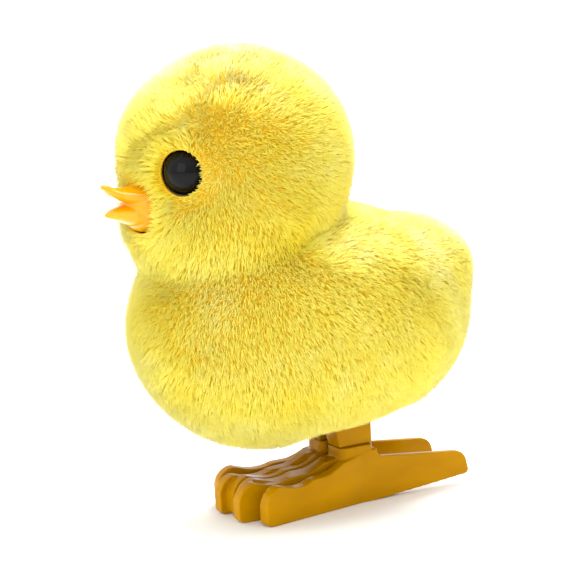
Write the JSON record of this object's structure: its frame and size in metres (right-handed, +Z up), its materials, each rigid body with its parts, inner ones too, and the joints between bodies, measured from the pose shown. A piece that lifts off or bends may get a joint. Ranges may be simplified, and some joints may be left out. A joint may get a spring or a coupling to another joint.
{
  "type": "wind-up hopping chick",
  "caption": "Plush chick toy with a moulded beak, glossy eyes and long hinged feet, driven by a clockwork wound with a key on its flank.",
  "frame": {"origin": "on the floor, under the middle of the whole toy's box, key and beak included", "axes": "+Z up, the chick looks along -Y, its left side is +X and its key stands out along -X"},
  "size_m": [0.0506, 0.0693, 0.08],
  "materials": {
    "coat": "short dense pile, soft",
    "beak": "glossy moulded",
    "eyes": "polished domes",
    "legs": "semi-gloss moulded",
    "key": "semi-gloss moulded",
    "form": "plain moulded",
    "case": "plain moulded",
    "steel": "drawn and zinc plated",
    "spring": "blued spring steel",
    "brass": "stamped"
  },
  "bodies": {
    "chick": {"plush_cover": "coat", "beak": "beak", "left_eye": "eyes", "right_eye": "eyes", "left_form": "form", "right_form": "form", "form_screws": "steel", "face_washers": "form", "left_case": "case", "right_case": "case", "case_screws": "steel", "case_mount_screws": "steel", "mainspring": "spring", "leg_pivot": "steel", "leg_spring": "spring"},
    "winding": {"winding_key": "key", "winding_arbor": "steel", "main_gear": "brass", "ratchet_wheel": "steel", "ratchet_click": "spring"},
    "second_wheel": {"second_arbor": "steel", "second_gear": "case"},
    "cam_shaft": {"cam_arbor": "steel", "cam_pinion": "case", "hop_cam": "case"},
    "legs": {"leg_lever": "legs", "left_shin": "legs", "right_shin": "legs", "left_foot": "legs", "right_foot": "legs", "leg_screws": "steel"}
  },
  "joints": [
    {"name": "key_turn", "type": "hinge", "parent": "chick", "child": "winding", "pos_m": [0, -0.00115, 0.037], "axis": [1, 0, 0], "continuous": true},
    {"name": "second_turn", "type": "hinge", "parent": "chick", "child": "second_wheel", "pos_m": [0, 0.00753, 0.0329], "axis": [1, 0, 0], "continuous": true},
    {"name": "cam_turn", "type": "hinge", "parent": "chick", "child": "cam_shaft", "pos_m": [0, 0.00085, 0.026], "axis": [1, 0, 0], "continuous": true},
    {"name": "leg_swing", "type": "hinge", "parent": "chick", "child": "legs", "pos_m": [0, 0.01085, 0.0226], "axis": [1, 0, 0], "range_deg": [0, 12], "stiffness_Nm_per_rad": 0.01, "springref_deg": -11.46}
  ],
  "couplings": [
    {"joint": "second_turn", "follows": "key_turn", "ratio": -3},
    {"joint": "cam_turn", "follows": "key_turn", "ratio": 9}
  ]
}
